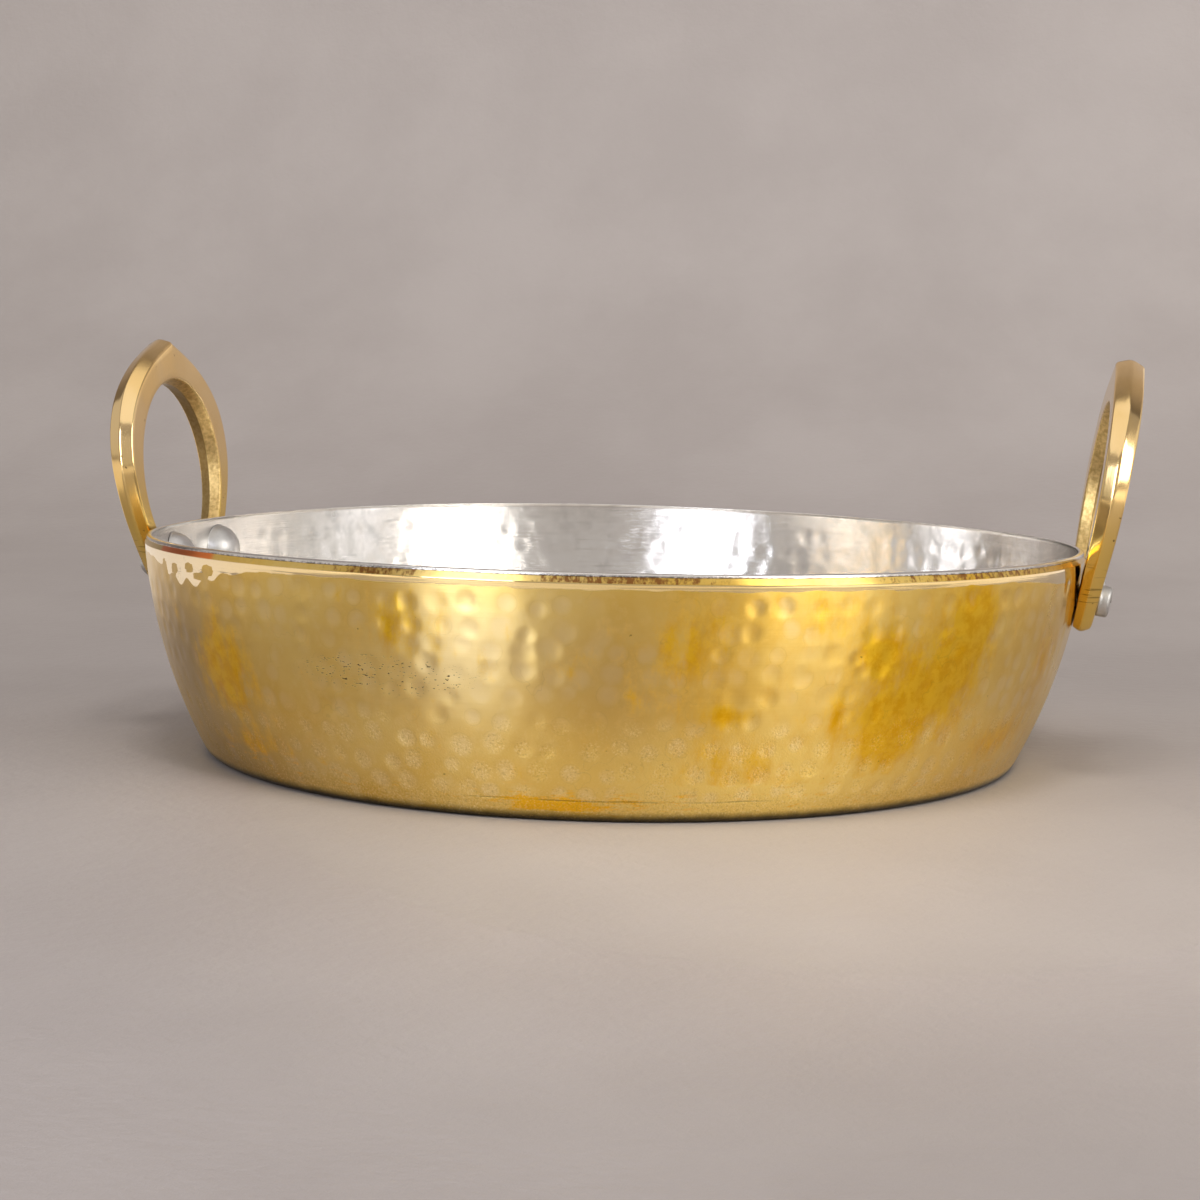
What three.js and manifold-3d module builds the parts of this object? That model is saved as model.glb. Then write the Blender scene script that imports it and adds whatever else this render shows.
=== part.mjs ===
// A round brass pan with a leaning wall, a tin lining and two cast ring handles, each held by two rivets.
// Units are millimetres and +Z is up. The origin is the middle of the underside, on the table.
// The handles stand at the +X and -X sides.

import * as THREE from 'three';
import { mergeVertices } from 'three/addons/utils/BufferGeometryUtils.js';
import Module from 'manifold-3d';

// Pan
const RIM_RADIUS = 140; // outside of the wall at the lip
const BASE_RADIUS = 121.5; // where the wall would meet the table if the foot were sharp
const PAN_HEIGHT = 65; // table to the top of the lip
const LIP_LEAN = THREE.MathUtils.degToRad(3.2); // lean of the wall at the lip, from upright
const FOOT_RADIUS = 4; // outside radius between base and wall
const LEAST_FILLET = 0.5; // smallest radius that is left inside the foot
const BRASS_THICKNESS = 1.8;
const TIN_THICKNESS = 0.3;
const TIN_BOND = 0.1; // layer between the brass and the tin

// Handles, drawn in the plane that lies along the wall, with the two rivets on its zero line
const HANDLE_SWEEP = THREE.MathUtils.degToRad(2.4); // each handle stands this far behind the X axis
const RIGHT_SPLAY = THREE.MathUtils.degToRad(2.2); // the right handle leans out this much more than the wall
const LEFT_SPLAY = THREE.MathUtils.degToRad(0.2); // and the left handle this much
const HANDLE_PROUD = 5.1; // wall at the rivets to the handle's outer face
const CROWN_THICKNESS = 8.8; // at the point of the crown
const FOOT_THICKNESS = 5.8; // at the bottom, and evenly between
const HOLE_RADIUS = 28;
const LEG_WIDTH = 10.3; // hole to the ridge, at the widest place
const LEG_RISE = 4; // widest place above the middle of the hole
const CROWN_WIDTH = 14.2; // hole to the point of the crown
const CROWN_SLOPE = THREE.MathUtils.degToRad(20); // slope of the ridge where it leaves the point
const CROWN_PULL = 24; // length of the curve's pull at the point
const SHOULDER_PULL = 20; // length of its pull above the widest place
const FLANK_PULL = 10; // length of its pull below the widest place
const CORNER_PULL = 14; // length of its pull above the lower corner
const CORNER_RAKE = THREE.MathUtils.degToRad(35); // lean of the ridge at the lower corner, from upright
const CORNER_LAND = 4.9; // rivet's axis to the lower corner, sideways and down
const CORNER_ROUND = 6; // straight run of the bottom that the corner's curve takes up
const BAR_WIDTH = 9.8; // hole to the bottom
const RIDGE_PROUD = 1.7; // how far the ridge stands out past the flat faces
const RIDGE_FLAT = 1; // width of the ridge itself

// Rivets
const RIVET_SPACING = 35; // between the two rivets of a handle
const RIVET_DROP = 12.5; // below the top of the lip
const RIVET_LAND = 4.4; // rivet's axis to the edge of the handle's hole
const SHANK_RADIUS = 3;
const HEAD_RADIUS = 7.75;
const HEAD_HEIGHT = 6.5;
const TAIL_RADIUS = 4.4;
const RIGHT_TAIL_HEIGHT = 3.4; // the tails of the right handle stand out this far
const LEFT_TAIL_HEIGHT = 1.4; // and those of the left handle are beaten flatter
const LEFT_HEAD_RISE = 1; // the left heads were set this far above their shanks
const TAIL_ROUND = 0.8; // radius of the tail's edge

const FIT_GAP = 0.3; // clearance between pieces that are set against each other

// Finishes
const HAMMERED_BRASS = { color: 0xc9a24a, roughness: 0.3, metalness: 1 };
const WIPED_TIN = { color: 0xcfccc4, roughness: 0.35, metalness: 1 };
const CAST_BRASS = { color: 0xc8983f, roughness: 0.25, metalness: 1 };
const RIVET_METAL = { color: 0xbfc0c2, roughness: 0.4, metalness: 1 };

// Facets
const PAN_SIDES = 72;
const ARC_STEPS = 2; // steps on a quarter of the section's arcs
const CURVE_STEPS = 10; // steps on each curve of the handle
const HOLE_SIDES = 48;
const RIVET_SIDES = 20;
const DOME_RINGS = 10;

// The outside of the wall is an arc from the lip to the foot, set by the lean at the lip
const CHORD_LEAN = Math.atan2(RIM_RADIUS - BASE_RADIUS, PAN_HEIGHT);
const WALL_CHORD = Math.hypot(RIM_RADIUS - BASE_RADIUS, PAN_HEIGHT);
const WALL_ARC_RADIUS = WALL_CHORD / (2 * Math.sin(CHORD_LEAN - LIP_LEAN));
const WALL_CENTRE_R = RIM_RADIUS - WALL_ARC_RADIUS * Math.cos(LIP_LEAN);
const WALL_CENTRE_Z = PAN_HEIGHT + WALL_ARC_RADIUS * Math.sin(LIP_LEAN);

// The rivets' line on the wall carries the handle: its height, its radius and the wall's lean there
const SEAT_Z = PAN_HEIGHT - RIVET_DROP;
const SEAT_LEAN = Math.asin((WALL_CENTRE_Z - SEAT_Z) / WALL_ARC_RADIUS);
const SEAT_RADIUS = WALL_CENTRE_R + WALL_ARC_RADIUS * Math.cos(SEAT_LEAN);

const TIN_INSET = BRASS_THICKNESS + TIN_BOND; // outside of the pan to the back of the tin
const LINED_INSET = TIN_INSET + TIN_THICKNESS; // outside of the pan to the face of the tin
const BRASS_TOP = PAN_HEIGHT - TIN_THICKNESS - TIN_BOND;
const RIVET_SIDE = RIVET_SPACING / 2;
const HOLE_CENTRE = Math.sqrt((HOLE_RADIUS + RIVET_LAND) ** 2 - RIVET_SIDE ** 2);
const CROWN_Z = HOLE_CENTRE + HOLE_RADIUS + CROWN_WIDTH; // point of the crown above the rivets' line
const BOTTOM_Z = HOLE_CENTRE - HOLE_RADIUS - BAR_WIDTH; // bottom of the handle

const HANDLES = [
  { name: 'right', azimuth: HANDLE_SWEEP, splay: RIGHT_SPLAY, tailHeight: RIGHT_TAIL_HEIGHT, headRise: 0 },
  {
    name: 'left',
    azimuth: Math.PI - HANDLE_SWEEP,
    splay: LEFT_SPLAY,
    tailHeight: LEFT_TAIL_HEIGHT,
    headRise: LEFT_HEAD_RISE,
  },
];

const wasm = await Module();
wasm.setup();

function solidFrom(geometry) {
  const bare = geometry.clone();
  bare.deleteAttribute('normal');
  bare.deleteAttribute('uv');
  const merged = mergeVertices(bare);
  const index = merged.index.array;
  const corners = [];
  for (let i = 0; i < index.length; i += 3) {
    const [a, b, c] = index.subarray(i, i + 3);
    if (a !== b && b !== c && c !== a) corners.push(a, b, c);
  }
  const vertProperties = new Float32Array(merged.attributes.position.array);
  return new wasm.Manifold(new wasm.Mesh({ numProp: 3, vertProperties, triVerts: new Uint32Array(corners) }));
}

function geometryFrom(solid) {
  const mesh = solid.getMesh();
  const geometry = new THREE.BufferGeometry();
  geometry.setAttribute('position', new THREE.BufferAttribute(mesh.vertProperties, 3));
  geometry.setIndex(new THREE.BufferAttribute(mesh.triVerts, 1));
  geometry.computeVertexNormals();
  return geometry;
}

// Half section of the pan, set in from its outside: along the base, round the foot and up the wall
function sectionLine(inset, top) {
  const fillet = Math.max(FOOT_RADIUS - inset, LEAST_FILLET);
  const arcRadius = WALL_ARC_RADIUS - inset;
  const filletZ = inset + fillet;
  const filletR = WALL_CENTRE_R + Math.sqrt((arcRadius - fillet) ** 2 - (filletZ - WALL_CENTRE_Z) ** 2);
  const footAngle = Math.atan2(filletZ - WALL_CENTRE_Z, filletR - WALL_CENTRE_R);
  const topAngle = Math.asin((top - WALL_CENTRE_Z) / arcRadius);
  const line = new THREE.Path();
  line.moveTo(0, inset);
  line.lineTo(filletR, inset);
  line.absarc(filletR, filletZ, fillet, -Math.PI / 2, footAngle, false);
  line.absarc(WALL_CENTRE_R, WALL_CENTRE_Z, arcRadius, footAngle, topAngle, false);
  return line.getPoints(ARC_STEPS);
}

function turned(points, sides) {
  return new THREE.LatheGeometry(points, sides).rotateX(Math.PI / 2);
}

// Everything inside the pan's surface at an inset, filled up to a height
function filledPan(inset, top) {
  return solidFrom(turned([...sectionLine(inset, top), new THREE.Vector2(0, top)], PAN_SIDES));
}

// A handle's frame, on the rivets' line of the wall: X out of the wall, Y along the rim and Z up the handle
function seatFrame(splay) {
  return new THREE.Matrix4().makeRotationY(SEAT_LEAN + splay).setPosition(SEAT_RADIUS, 0, SEAT_Z);
}

function seatAt({ azimuth, splay }) {
  return new THREE.Matrix4().makeRotationZ(azimuth).multiply(seatFrame(splay));
}

// The filled pan as a handle's frame sees it
function panAtSeat(inset, top, splay) {
  return solidFrom(geometryFrom(filledPan(inset, top)).applyMatrix4(seatFrame(splay).invert()));
}

// A pin across the wall and the handle, on a rivet's axis in the handle's frame
function rivetPin(radius, from, to, side) {
  const pin = new THREE.CylinderGeometry(radius, radius, to - from, RIVET_SIDES);
  return pin.rotateZ(-Math.PI / 2).translate((from + to) / 2, side * RIVET_SIDE, 0);
}

const HOLE_REACH = 2 * (CROWN_THICKNESS + HANDLE_PROUD + LINED_INSET); // long enough to pass through wall and handle

function rivetHole(side) {
  return rivetPin(SHANK_RADIUS + FIT_GAP, -HOLE_REACH, HOLE_REACH, side);
}

function drilled(shell) {
  let solid = shell;
  for (const handle of HANDLES) {
    for (const side of [-1, 1]) {
      solid = solid.subtract(solidFrom(rivetHole(side).applyMatrix4(seatAt(handle))));
    }
  }
  return geometryFrom(solid);
}

// Brass shell: outside line up to the lip and back down the inside
function panBody() {
  const outside = sectionLine(0, BRASS_TOP);
  const inside = sectionLine(BRASS_THICKNESS, BRASS_TOP);
  return drilled(solidFrom(turned([...outside, ...inside.reverse()], PAN_SIDES)));
}

// Tin coat: it lies on the brass inside and turns over the top of the lip
function tinLining() {
  const back = sectionLine(TIN_INSET, BRASS_TOP + TIN_BOND);
  const face = sectionLine(LINED_INSET, PAN_HEIGHT);
  const lipEdge = sectionLine(0, BRASS_TOP + TIN_BOND).pop();
  const overLip = [lipEdge, new THREE.Vector2(lipEdge.x, PAN_HEIGHT)];
  return drilled(solidFrom(turned([...back, ...overLip, ...face.reverse()], PAN_SIDES)));
}

// Outline of the handle's ridge: a low point at the crown, round shoulders, flanks that draw in
// and lower corners that hold the rivets
function ridgeOutline() {
  const wide = HOLE_RADIUS + LEG_WIDTH;
  const wideZ = HOLE_CENTRE + LEG_RISE;
  const corner = RIVET_SIDE + CORNER_LAND;
  const rakeSide = Math.sin(CORNER_RAKE);
  const rakeUp = Math.cos(CORNER_RAKE);
  const bendSide = corner - (-CORNER_LAND - BOTTOM_Z) * Math.tan(CORNER_RAKE);
  const pointSide = CROWN_PULL * Math.cos(CROWN_SLOPE);
  const pointZ = CROWN_Z - CROWN_PULL * Math.sin(CROWN_SLOPE);
  const aboveSide = corner + CORNER_PULL * rakeSide;
  const aboveZ = -CORNER_LAND + CORNER_PULL * rakeUp;
  const outline = new THREE.Shape();
  outline.moveTo(0, CROWN_Z);
  outline.bezierCurveTo(-pointSide, pointZ, -wide, wideZ + SHOULDER_PULL, -wide, wideZ);
  outline.bezierCurveTo(-wide, wideZ - FLANK_PULL, -aboveSide, aboveZ, -corner, -CORNER_LAND);
  outline.quadraticCurveTo(-bendSide, BOTTOM_Z, -bendSide + CORNER_ROUND, BOTTOM_Z);
  outline.lineTo(bendSide - CORNER_ROUND, BOTTOM_Z);
  outline.quadraticCurveTo(bendSide, BOTTOM_Z, corner, -CORNER_LAND);
  outline.bezierCurveTo(aboveSide, aboveZ, wide, wideZ - FLANK_PULL, wide, wideZ);
  outline.bezierCurveTo(wide, wideZ + SHOULDER_PULL, pointSide, pointZ, 0, CROWN_Z);
  return outline;
}

// Thins a handle's blank from the crown down to the foot. Its outer face stays where it is
function thinned(blank) {
  const points = blank.attributes.position;
  for (let i = 0; i < points.count; i += 1) {
    const share = (CROWN_Z - points.getZ(i)) / (CROWN_Z - BOTTOM_Z);
    const thickness = THREE.MathUtils.lerp(CROWN_THICKNESS, FOOT_THICKNESS, share);
    const depth = HANDLE_PROUD - points.getX(i);
    points.setX(i, HANDLE_PROUD - (depth * thickness) / CROWN_THICKNESS);
  }
  return blank;
}

// Cast ring: two flat faces whose outer edge slopes up to a ridge, a round hole through it, two rivet holes
// and a hollow at its foot that fits the wall
function ringHandle(splay) {
  const acrossWall = new THREE.Matrix4().makeBasis(
    new THREE.Vector3(0, 1, 0),
    new THREE.Vector3(0, 0, 1),
    new THREE.Vector3(1, 0, 0),
  );
  const slope = (CROWN_THICKNESS - RIDGE_FLAT) / 2;
  const blank = new THREE.ExtrudeGeometry(ridgeOutline(), {
    depth: RIDGE_FLAT,
    curveSegments: CURVE_STEPS,
    bevelSegments: 1,
    bevelThickness: slope,
    bevelSize: RIDGE_PROUD,
    bevelOffset: -RIDGE_PROUD,
  });
  blank.applyMatrix4(acrossWall).translate(HANDLE_PROUD - slope - RIDGE_FLAT, 0, 0);
  const hole = new THREE.CylinderGeometry(HOLE_RADIUS, HOLE_RADIUS, HOLE_REACH, HOLE_SIDES);
  hole.rotateZ(Math.PI / 2).translate(0, 0, HOLE_CENTRE);
  const wall = panAtSeat(-FIT_GAP, PAN_HEIGHT + FIT_GAP, splay);
  let solid = solidFrom(thinned(blank)).subtract(solidFrom(hole)).subtract(wall);
  for (const side of [-1, 1]) {
    solid = solid.subtract(solidFrom(rivetHole(side)));
  }
  return geometryFrom(solid);
}

// Rivet: a round head that fits the lined wall, a shank through wall and handle, and a short upset tail
function rivet(side, { splay, tailHeight, headRise }) {
  const ballRadius = (HEAD_RADIUS ** 2 + HEAD_HEIGHT ** 2) / (2 * HEAD_HEIGHT);
  const linedRadius = SEAT_RADIUS - LINED_INSET / Math.cos(SEAT_LEAN);
  const wallFace = (Math.sqrt(linedRadius ** 2 - RIVET_SIDE ** 2) - SEAT_RADIUS) * Math.cos(SEAT_LEAN);
  const ball = new THREE.SphereGeometry(ballRadius, RIVET_SIDES, DOME_RINGS);
  ball.rotateZ(Math.PI / 2).translate(wallFace + ballRadius - HEAD_HEIGHT, side * RIVET_SIDE, headRise);
  const head = solidFrom(ball).intersect(panAtSeat(LINED_INSET + FIT_GAP, PAN_HEIGHT, splay));
  const tailBase = HANDLE_PROUD + FIT_GAP;
  const tailTop = tailBase + tailHeight;
  const shank = rivetPin(SHANK_RADIUS, wallFace - HEAD_HEIGHT / 2, tailTop - TAIL_ROUND, side);
  const edge = new THREE.Path();
  edge.moveTo(0, tailBase);
  edge.lineTo(TAIL_RADIUS, tailBase);
  edge.absarc(TAIL_RADIUS - TAIL_ROUND, tailTop - TAIL_ROUND, TAIL_ROUND, 0, Math.PI / 2, false);
  edge.lineTo(0, tailTop);
  const tail = new THREE.LatheGeometry(edge.getPoints(ARC_STEPS), RIVET_SIDES);
  tail.rotateZ(-Math.PI / 2).translate(0, side * RIVET_SIDE, 0);
  return geometryFrom(head.add(solidFrom(shank)).add(solidFrom(tail)));
}

function piece(name, geometry, finish) {
  const mesh = new THREE.Mesh(geometry, new THREE.MeshStandardMaterial(finish));
  mesh.name = name;
  return mesh;
}

const pan = new THREE.Group();
pan.add(piece('pan_body', panBody(), HAMMERED_BRASS));
pan.add(piece('tin_lining', tinLining(), WIPED_TIN));

for (const handle of HANDLES) {
  const group = new THREE.Group();
  group.applyMatrix4(seatAt(handle));
  group.add(piece(`handle_${handle.name}`, ringHandle(handle.splay), CAST_BRASS));
  for (const side of [-1, 1]) {
    const place = side * Math.cos(handle.azimuth) < 0 ? 'front' : 'back';
    group.add(piece(`rivet_${handle.name}_${place}`, rivet(side, handle), RIVET_METAL));
  }
  pan.add(group);
}

export default pan;
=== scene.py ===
# A round brass pan with a tin lining and two riveted ring handles.
# Metres, +Z up, standing on its base at the origin.

import math

import bpy
import numpy as np
from mathutils import Matrix


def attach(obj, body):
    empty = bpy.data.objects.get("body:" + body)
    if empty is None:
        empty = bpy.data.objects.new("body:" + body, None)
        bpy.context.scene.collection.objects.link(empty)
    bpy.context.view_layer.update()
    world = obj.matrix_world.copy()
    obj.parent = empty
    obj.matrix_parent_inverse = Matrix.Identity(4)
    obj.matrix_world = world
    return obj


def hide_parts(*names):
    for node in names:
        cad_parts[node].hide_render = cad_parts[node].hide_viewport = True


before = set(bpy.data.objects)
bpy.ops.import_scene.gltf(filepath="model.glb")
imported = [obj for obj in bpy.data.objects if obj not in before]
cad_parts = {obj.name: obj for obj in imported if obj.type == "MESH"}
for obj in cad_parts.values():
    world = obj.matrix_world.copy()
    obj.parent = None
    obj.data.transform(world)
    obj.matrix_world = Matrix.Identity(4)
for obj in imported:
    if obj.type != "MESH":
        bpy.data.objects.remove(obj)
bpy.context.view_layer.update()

# Hammered shell: raised by hand from one sheet of brass, with a flat base and a wall that leans out.
# The wall was buffed round and round on a wheel, brightest under the lip, and its lower third was left
# matt. The lip is filed to a slope that faces outwards.
MM = 0.001
TURN = 2 * math.pi
RIM_RADIUS = 140 * MM
BASE_RADIUS = 121.5 * MM
PAN_HEIGHT = 65 * MM
LIP_LEAN = math.radians(3.2)
FOOT_RADIUS = 4 * MM
LEAST_FILLET = 0.6 * MM
BRASS_THICKNESS = 1.8 * MM
HIDDEN_INSET = 1.4 * MM  # the face under the tin has few rows, so it is kept clear of it
LIP_FOOT = 62.5 * MM  # where the filed slope begins
LIP_TOP = 64.7 * MM
LIP_SET_IN = 0.95 * MM  # how far the slope draws in
LEVEL_WAVES = [(1, 0.24, 36), (2, 0.58, 153), (3, 0.26, 15)]  # off level: waves round the rim, mm, degrees
ROUND_WAVES = [(2, 0.4, 0), (3, 0.48, 15)]  # and off round
SHELL_SIDES = 900
OUTSIDE_ROWS = (4, 82)  # rows of points along the base and up the wall
HIDDEN_ROWS = (2, 4)
MARK_ROWS = np.array([56.6, 50.4, 44.8, 39.3, 33.6, 27.2, 20.4, 13.8, 7.9]) * MM
MARK_PITCH = 8.0 * MM
MARK_DEPTH = 0.27 * MM
MARK_STRAY = 0.22  # to either side, as a share of the pitch
MARK_LIFT = 0.7 * MM
MARK_SIZES = (2.3 * MM, 3.4 * MM)
MARK_LEAST = 0.15  # the shallowest mark, as a share of the deepest
MARKED = (4 * MM, 7 * MM, 59 * MM, 61 * MM)  # heights where the marks begin, are full, fade and end
DEEP_MARKS = [  # degrees round, then height, radius and depth in mm
    (-112.3, 26.8, 3.0, 0.42), (-108.4, 27.7, 2.6, 0.3), (-127.7, 20.9, 1.3, 0.3),
]
POLISH_FOOT = 57 * MM  # where the shinier band under the lip begins
POLISH_FADE = (6 * MM, 5 * MM)  # how far it fades below and above that
POLISH_DIP = (4 * MM, -134, 14)  # how much lower it begins, degrees round and half width in degrees
FRESH_FOOT = 60.8 * MM  # where the brightest band begins
FRESH_TONGUE = 5.8 * MM  # how far its torn end hangs down, in fingers
TONGUE_PLACE = (-135.5, 9)  # degrees round and half width in degrees
FINGER_PITCH = 4.1  # degrees
FINGER_TURN = 129.7
FRESH_DIPS = [(3, -12, 10), (5, 40, 14), (3, 140, 12)]  # mm, degrees round and half width in degrees
BARE_SPOTS = [(1, -140, 22), (1, -8, 22), (1, 40, 22), (1, 140, 22)]  # strength, and the same
# Dark brown on the lip's slope: partly a burnt tint, partly a painted dark reflection.
LIP_BURNS_AND_DARK_REFLECTIONS = [  # strength, degrees round and half width in degrees
    (0.75, -105, 5), (0.8, -79, 9), (0.65, -36, 13), (0.6, 30, 12), (0.7, 90, 14), (0.6, 150, 8),
]
# A painted reddish-brown reflection on the far left of the lip's slope.
RED_REFLECTION_SPAN = (-143.5, -142.5, -129.5, -128.2)  # degrees round: begins, is full, fades and ends
CREASED_SPAN = (262, 268, 296, 302)
STAINS = [  # strength, degrees round, height in mm, half width in degrees and half height in mm
    (1.35, -130, 32, 5, 11), (0.5, -101.5, 49, 5, 9), (0.5, -127, 12.7, 5, 4), (0.95, -66.8, 29.4, 2.6, 2.6),
    (0.35, -66, 17, 5, 9), (1.9, -85.5, 4.8, 7.5, 2.2), (1.0, -49.4, 44, 3, 6), (1.3, -38.5, 38, 6, 14),
    (1.25, -46.5, 25, 4.6, 11), (1.0, -36, 53.5, 3.4, 10), (0.8, -17.6, 39, 3.5, 8), (0.7, -24, 16.8, 7, 5),
    (0.9, -53.9, 29, 0.9, 5), (0.4, -61.6, 12.6, 5, 5), (0.3, -54, 57, 8, 8), (0.42, -72, 48, 5, 12),
    (0.2, -57, 40, 16, 30), (0.9, 62, 30, 7, 13), (0.8, 78, 48, 4, 9), (0.9, 128, 42, 6, 12),
    (0.7, 145, 18, 6, 6), (0.8, 25, 34, 4, 12), (1.0, 98, 6, 7, 2.5), (0.6, 105, 22, 5, 6),
]
HOLLOWS = [  # left unbuffed at the torn end of the brightest band, written as the stains are
    (1, -142.1, 58, 0.7, 2.4), (1, -138.5, 58.5, 0.9, 1.5), (1, -134.3, 59.5, 1.1, 1.4),
    (1, -130, 59.4, 1.2, 1.5), (1, -132.2, 57.3, 1.2, 0.8), (1, -140.5, 54.8, 1, 0.8),
]
DULL_SPOTS = [(1, -140, 36, 12, 30), (0.4, -128, 8, 16, 12), (0.22, -115, 40, 10, 20), (0.5, -79, 38, 7, 20)]
# Painted sheen low on the wall: brighter gold standing for the reflection of a lit floor.
PAINTED_SHEEN_SPOTS = [(1, -62, 12, 27, 13), (0.7, 118, 12, 20, 12)]
HANDLE_SPOTS = [(1, 2.4, 54, 16, 17), (1, 177.6, 54, 16, 17)]
# Paler brass, partly the metal's own and partly a painted highlight, laid where a highlight band falls.
PALE_AND_HIGHLIGHT_SPOTS = [(1, -96, 44, 9, 20), (0.7, 85, 40, 12, 20)]
PITTED_SPOTS = [(1, -104.5, 37, 10, 4.5), (0.6, 110, 34, 6, 5)]
BRASS_LIGHT = (0.89, 0.635, 0.185, 1)
BRASS_DEEP = (0.83, 0.54, 0.11, 1)
BRASS_WORN = (0.92, 0.72, 0.34, 1)
BRASS_PALE_AND_HIGHLIGHT = (0.88, 0.70, 0.36, 1)
BRASS_PAINTED_SHEEN = (1.0, 0.755, 0.225, 1)
BRASS_DULL = (0.47, 0.33, 0.145, 1)
DENT_FLOOR_SHEEN = (0.93, 0.76, 0.44, 1)
AMBER_DEEP = (0.84, 0.45, 0.01, 1)
AMBER_LIGHT = (0.92, 0.56, 0.03, 1)
AMBER_LOW = (1.0, 0.56, 0.02, 1)
FRESH_GOLD = (0.95, 0.74, 0.36, 1)
FRESH_BARE = (0.95, 0.82, 0.60, 1)
BURN_AND_REFLECTION_BROWN = (0.30, 0.115, 0.035, 1)
RED_REFLECTION = (0.95, 0.21, 0.035, 1)
SOOT_AND_SHADE_BLACK = (0.035, 0.025, 0.012, 1)
PIT_AND_SHADE_BROWN = (0.10, 0.06, 0.02, 1)
SAND_DARK = (0.50, 0.33, 0.09, 1)
SAND_LIGHT = (1.0, 0.80, 0.42, 1)

chord_lean = math.atan2(RIM_RADIUS - BASE_RADIUS, PAN_HEIGHT)
wall_chord = math.hypot(RIM_RADIUS - BASE_RADIUS, PAN_HEIGHT)
wall_arc = wall_chord / (2 * math.sin(chord_lean - LIP_LEAN))
wall_centre_r = RIM_RADIUS - wall_arc * math.cos(LIP_LEAN)
wall_centre_z = PAN_HEIGHT + wall_arc * math.sin(LIP_LEAN)


def wall_radius(z, inset):
    """Radius of the wall at a height: an arc about the wall's centre, made smaller by the inset."""
    return wall_centre_r + np.sqrt((wall_arc - inset) ** 2 - (z - wall_centre_z) ** 2)


def pan_line(inset, top, base_rows, wall_rows):
    """Half section of the pan as radius and height: straight out along the base, a fillet round the
    foot and the wall's arc up to a height, all set in from the outside by the inset."""
    arc = wall_arc - inset
    fillet = max(FOOT_RADIUS - inset, LEAST_FILLET)
    fillet_z = inset + fillet
    fillet_r = wall_radius(fillet_z, inset + fillet)
    foot = math.atan2(fillet_z - wall_centre_z, fillet_r - wall_centre_r)
    end = math.asin((top - wall_centre_z) / arc)
    base = np.linspace(0.02, 1, base_rows)[:-1] * fillet_r
    bend = np.linspace(-math.pi / 2, foot, 8)
    rise = np.linspace(foot, end, wall_rows)[1:]
    radius = [base, fillet_r + fillet * np.cos(bend), wall_centre_r + arc * np.cos(rise)]
    height = [base * 0 + inset, fillet_z + fillet * np.sin(bend), wall_centre_z + arc * np.sin(rise)]
    return np.concatenate(radius), np.concatenate(height)


def smooth(value, low, high):
    """Rises from 0 at low to 1 at high as 3t^2 - 2t^3."""
    t = np.clip((value - low) / (high - low), 0, 1)
    return t * t * (3 - 2 * t)


def span(value, start, full, fade, end):
    """1 from full to fade, with a smooth rise from start and a smooth fall to end."""
    return smooth(value, start, full) * smooth(-value, -end, -fade)


def patch(angle, height, at_degrees, at_height, wide_degrees, tall):
    """A soft round patch on the wall: exp(-q), q being the squared distance from its middle, counted
    in half widths and half heights."""
    side = (np.degrees(angle) - at_degrees + 180) % 360 - 180
    return np.exp(-((side / wide_degrees) ** 2) - ((height - at_height) / tall) ** 2)


mark_dice = np.random.default_rng(11)
mark_counts = np.round(TURN * wall_radius(MARK_ROWS, 0) / MARK_PITCH).astype(int)
mark_shape = (len(MARK_ROWS), mark_counts.max())
mark_shift = mark_dice.uniform(-MARK_STRAY, MARK_STRAY, mark_shape)
mark_lift = mark_dice.normal(0, MARK_LIFT, mark_shape)
mark_size = mark_dice.uniform(*MARK_SIZES, mark_shape)
mark_deep = mark_dice.uniform(MARK_LEAST, 1, mark_shape) * MARK_DEPTH


def hammer_marks(angle, height, grow):
    """Depth of the hammer's marks, and nearness to one. Each row holds round dents at a steady pitch,
    moved about by chance. A dent's depth falls from its middle to its rim as 1 - q, q being the squared
    distance in dent radii. Where dents overlap the deepest one counts. The nearness is the least q."""
    depth = np.zeros(np.broadcast(angle, height).shape)
    nearness = depth + 2
    for row, middle in enumerate(MARK_ROWS):
        count = mark_counts[row]
        along = angle / TURN * count
        for step in (-1, 0, 1):
            mark = (np.floor(along).astype(int) + step) % count
            side = (along - np.floor(along) - step - 0.5 - mark_shift[row, mark]) * MARK_PITCH
            rise = height - middle - mark_lift[row, mark]
            q = (side**2 + rise**2) / (mark_size[row, mark] * grow) ** 2
            depth = np.maximum(depth, mark_deep[row, mark] * np.clip(1 - q, 0, 1))
            nearness = np.minimum(nearness, q)
    for at, middle, size, deep in DEEP_MARKS:
        side = ((np.degrees(angle) - at + 180) % 360 - 180) * math.radians(1) * RIM_RADIUS
        q = (side**2 + (height - middle * MM) ** 2) / (size * MM) ** 2
        depth = np.maximum(depth, deep * MM * np.clip(1 - q, 0, 1))
    return depth, nearness


def rim_stray(waves, angle, height):
    """How far the hand-worked rim strays: a sum of cosines round the pan that grows with height squared."""
    stray = sum(much * MM * np.cos(count * angle + math.radians(turn)) for count, much, turn in waves)
    return stray * (height / PAN_HEIGHT) ** 2


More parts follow.
